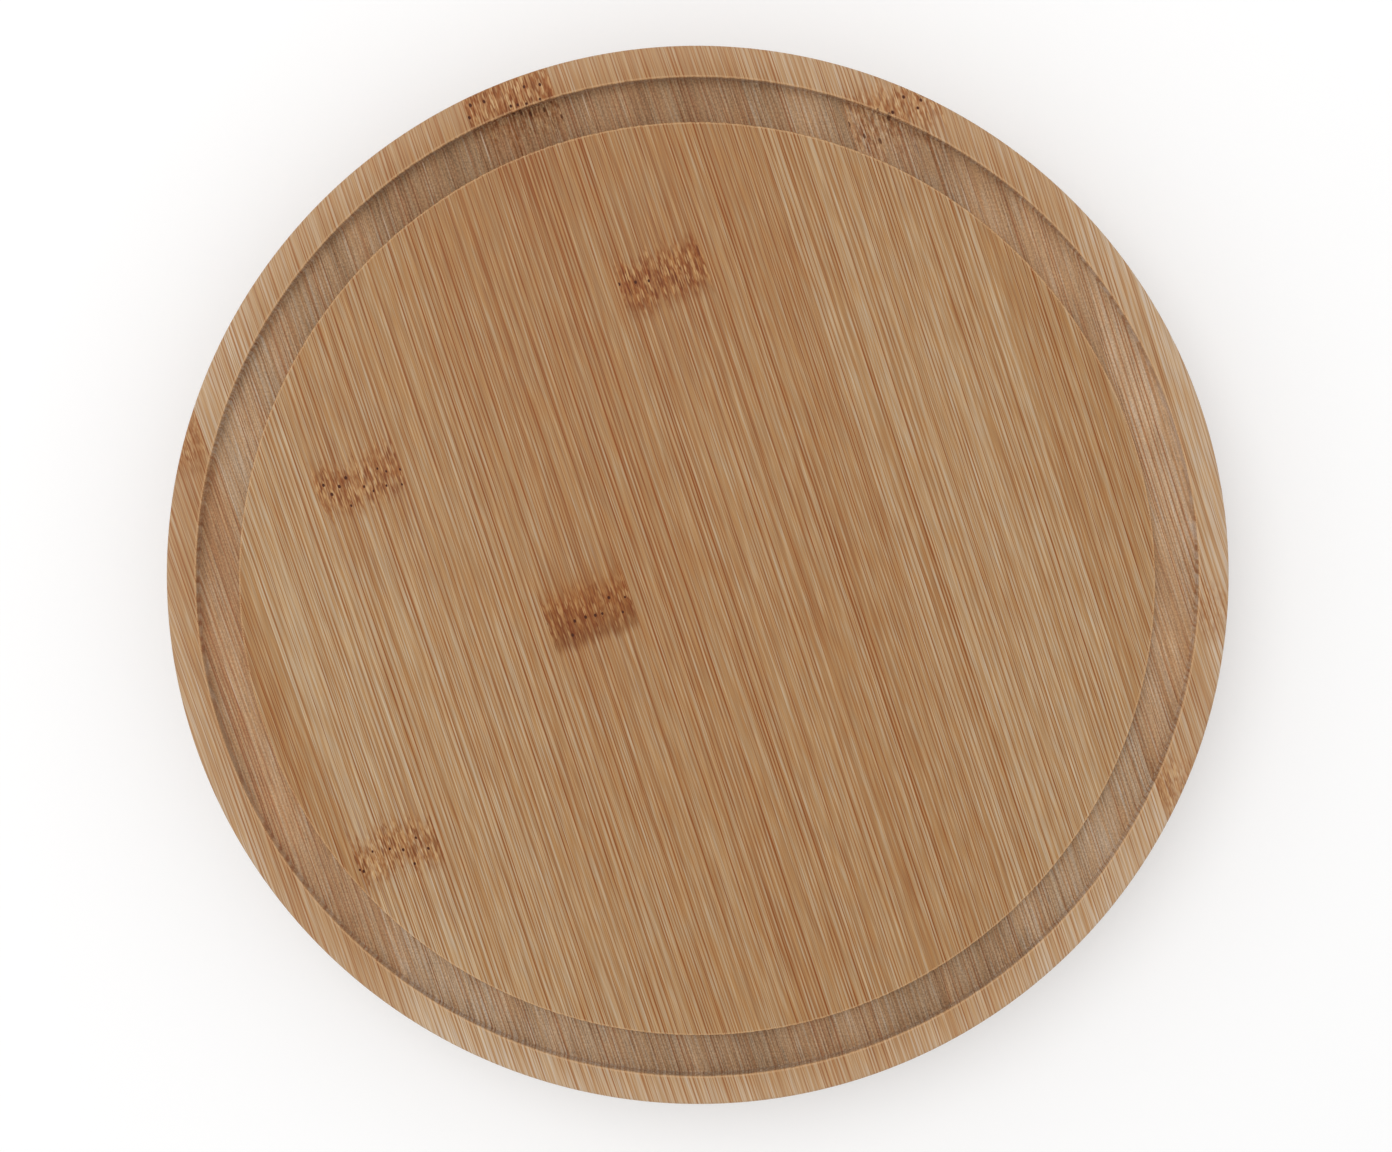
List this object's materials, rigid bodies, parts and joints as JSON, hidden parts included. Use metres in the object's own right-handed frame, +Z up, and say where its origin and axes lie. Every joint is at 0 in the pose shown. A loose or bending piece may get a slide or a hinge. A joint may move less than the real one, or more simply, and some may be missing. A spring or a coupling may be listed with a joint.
{
  "type": "lazy susan turntable",
  "caption": "Round bamboo serving board with a channel inside its rim, turning on a ball-bearing ring over a round foot plate.",
  "frame": {"origin": "centre of the ground circle, under the middle of the board", "axes": "+Z up along the turning axis; +Y and +X level, with the bamboo grain 17.2 degrees off Y"},
  "size_m": [0.25, 0.25, 0.035],
  "materials": {
    "board_bamboo": "oiled bamboo, long straight fibres, satin",
    "plate_bamboo": "oiled bamboo, long straight fibres, satin",
    "aluminium": "turned, clear anodised",
    "ball_steel": "ground and polished",
    "plated_steel": "zinc plated",
    "nylon": "moulded, matte",
    "nylon_plug": "moulded, matte",
    "rubber": "matte moulded rubber"
  },
  "bodies": {
    "base": {"base_plate": "plate_bamboo", "bearing_outer_ring": "aluminium", "ball_filler_plug": "nylon_plug", "foot_1": "rubber", "foot_washer_1": "plated_steel", "foot_screw_1": "plated_steel", "outer_ring_screw_1": "plated_steel", "foot_2": "rubber", "foot_washer_2": "plated_steel", "foot_screw_2": "plated_steel", "outer_ring_screw_2": "plated_steel", "foot_3": "rubber", "foot_washer_3": "plated_steel", "foot_screw_3": "plated_steel", "outer_ring_screw_3": "plated_steel", "foot_4": "rubber", "foot_washer_4": "plated_steel", "foot_screw_4": "plated_steel", "outer_ring_screw_4": "plated_steel"},
    "turntable": {"turntable_top": "board_bamboo", "bearing_inner_ring": "aluminium", "inner_ring_screw_1": "plated_steel", "inner_ring_screw_2": "plated_steel", "inner_ring_screw_3": "plated_steel", "inner_ring_screw_4": "plated_steel"},
    "ball_train": {"bearing_balls": "ball_steel", "ball_cage": "nylon"}
  },
  "joints": [
    {"name": "turntable_spin", "type": "hinge", "parent": "base", "child": "turntable", "pos_m": [0, 0, 0.017], "axis": [0, 0, 1], "continuous": true},
    {"name": "ball_train_orbit", "type": "hinge", "parent": "base", "child": "ball_train", "pos_m": [0, 0, 0.017], "axis": [0, 0, 1], "continuous": true}
  ],
  "couplings": [
    {"joint": "ball_train_orbit", "follows": "turntable_spin", "ratio": 0.4856}
  ]
}
